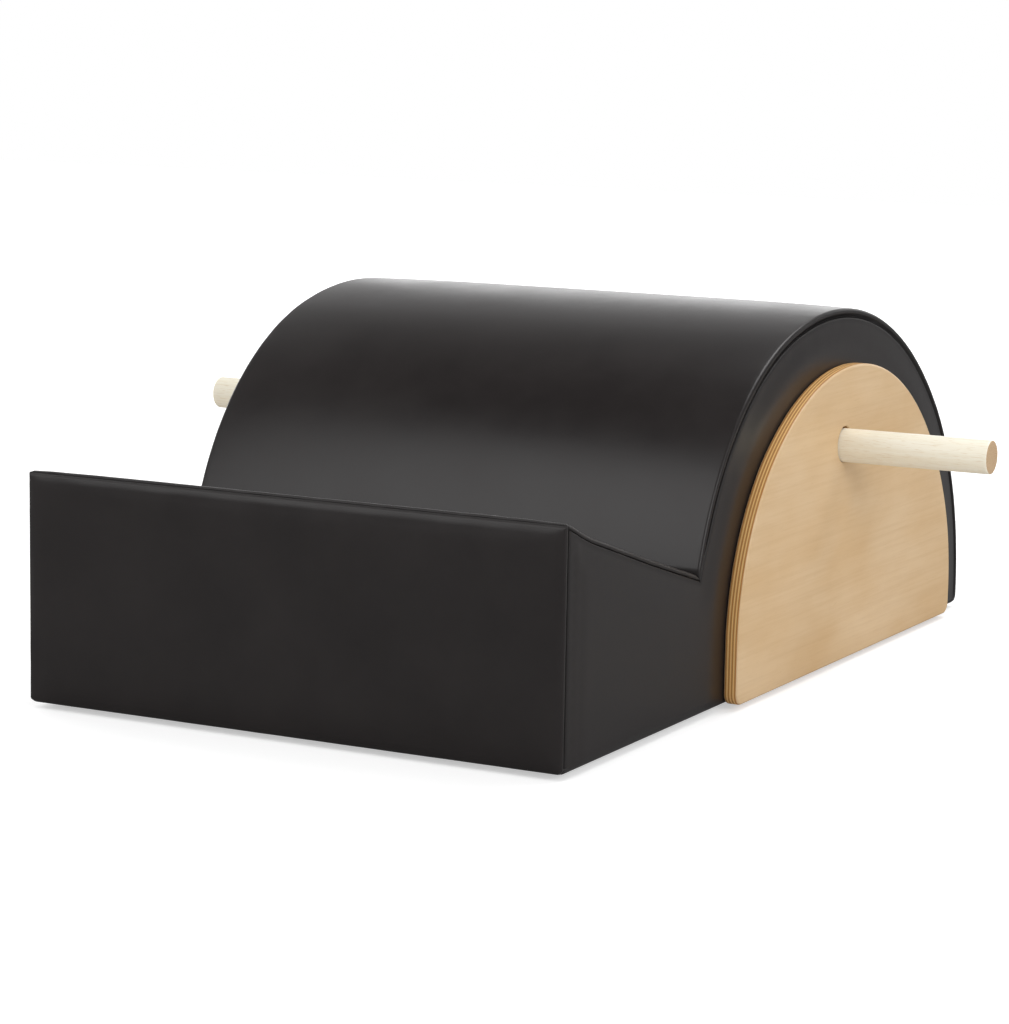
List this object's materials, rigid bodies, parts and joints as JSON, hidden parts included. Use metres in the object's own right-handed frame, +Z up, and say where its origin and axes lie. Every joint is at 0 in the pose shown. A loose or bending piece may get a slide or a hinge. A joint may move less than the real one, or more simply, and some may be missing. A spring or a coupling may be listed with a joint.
{
  "type": "pilates spine corrector",
  "caption": "Low padded seat sloping down to a half-round padded barrel, with plywood side panels and a round wooden pole passed through them as handles.",
  "frame": {"origin": "on the floor under the middle of the object's bounding box, with the feet's undersides at z = 0", "axes": "+X to the right seen from the front panel, along the pole; +Y from the front panel to the back of the barrel, the longest extent; +Z up, the shortest extent"},
  "size_m": [0.741, 0.8079, 0.3001],
  "materials": {
    "black_vinyl": "satin",
    "birch_ply": "satin",
    "pole_wood": "satin",
    "carcass_ply": "matte",
    "foam": "matte",
    "dust_cloth": "matte",
    "rubber": "matte",
    "screw_steel": "satin"
  },
  "bodies": {
    "base": {"side_plate_left": "carcass_ply", "side_plate_right": "carcass_ply", "inner_rib_left": "carcass_ply", "inner_rib_right": "carcass_ply", "front_rail": "carcass_ply", "middle_rail": "carcass_ply", "rear_rail": "carcass_ply", "front_board": "carcass_ply", "seat_deck": "carcass_ply", "barrel_skin": "carcass_ply", "front_foam": "foam", "seat_foam": "foam", "barrel_foam": "foam", "side_foam_left": "foam", "side_foam_right": "foam", "front_cover": "black_vinyl", "seat_cover": "black_vinyl", "barrel_cover": "black_vinyl", "side_cover_left": "black_vinyl", "side_cover_right": "black_vinyl", "dust_cloth": "dust_cloth", "side_panel_left": "birch_ply", "side_panel_right": "birch_ply", "panel_screw_left_front_low": "screw_steel", "panel_screw_left_back_low": "screw_steel", "panel_screw_left_front_high": "screw_steel", "panel_screw_left_back_high": "screw_steel", "panel_screw_right_front_low": "screw_steel", "panel_screw_right_back_low": "screw_steel", "panel_screw_right_front_high": "screw_steel", "panel_screw_right_back_high": "screw_steel", "rail_screw_left_front": "screw_steel", "rail_screw_right_front": "screw_steel", "rail_screw_left_middle": "screw_steel", "rail_screw_right_middle": "screw_steel", "rail_screw_left_rear": "screw_steel", "rail_screw_right_rear": "screw_steel", "foot_left_front": "rubber", "foot_right_front": "rubber", "foot_left_middle": "rubber", "foot_right_middle": "rubber", "foot_left_rear": "rubber", "foot_right_rear": "rubber", "foot_screw_left_front": "screw_steel", "foot_screw_right_front": "screw_steel", "foot_screw_left_middle": "screw_steel", "foot_screw_right_middle": "screw_steel", "foot_screw_left_rear": "screw_steel", "foot_screw_right_rear": "screw_steel"},
    "pole": {"pole": "pole_wood"}
  },
  "joints": [
    {"name": "pole_slide", "type": "slide", "parent": "base", "child": "pole", "axis": [1, 0, 0], "range_m": [-0.58, 0.58]}
  ]
}
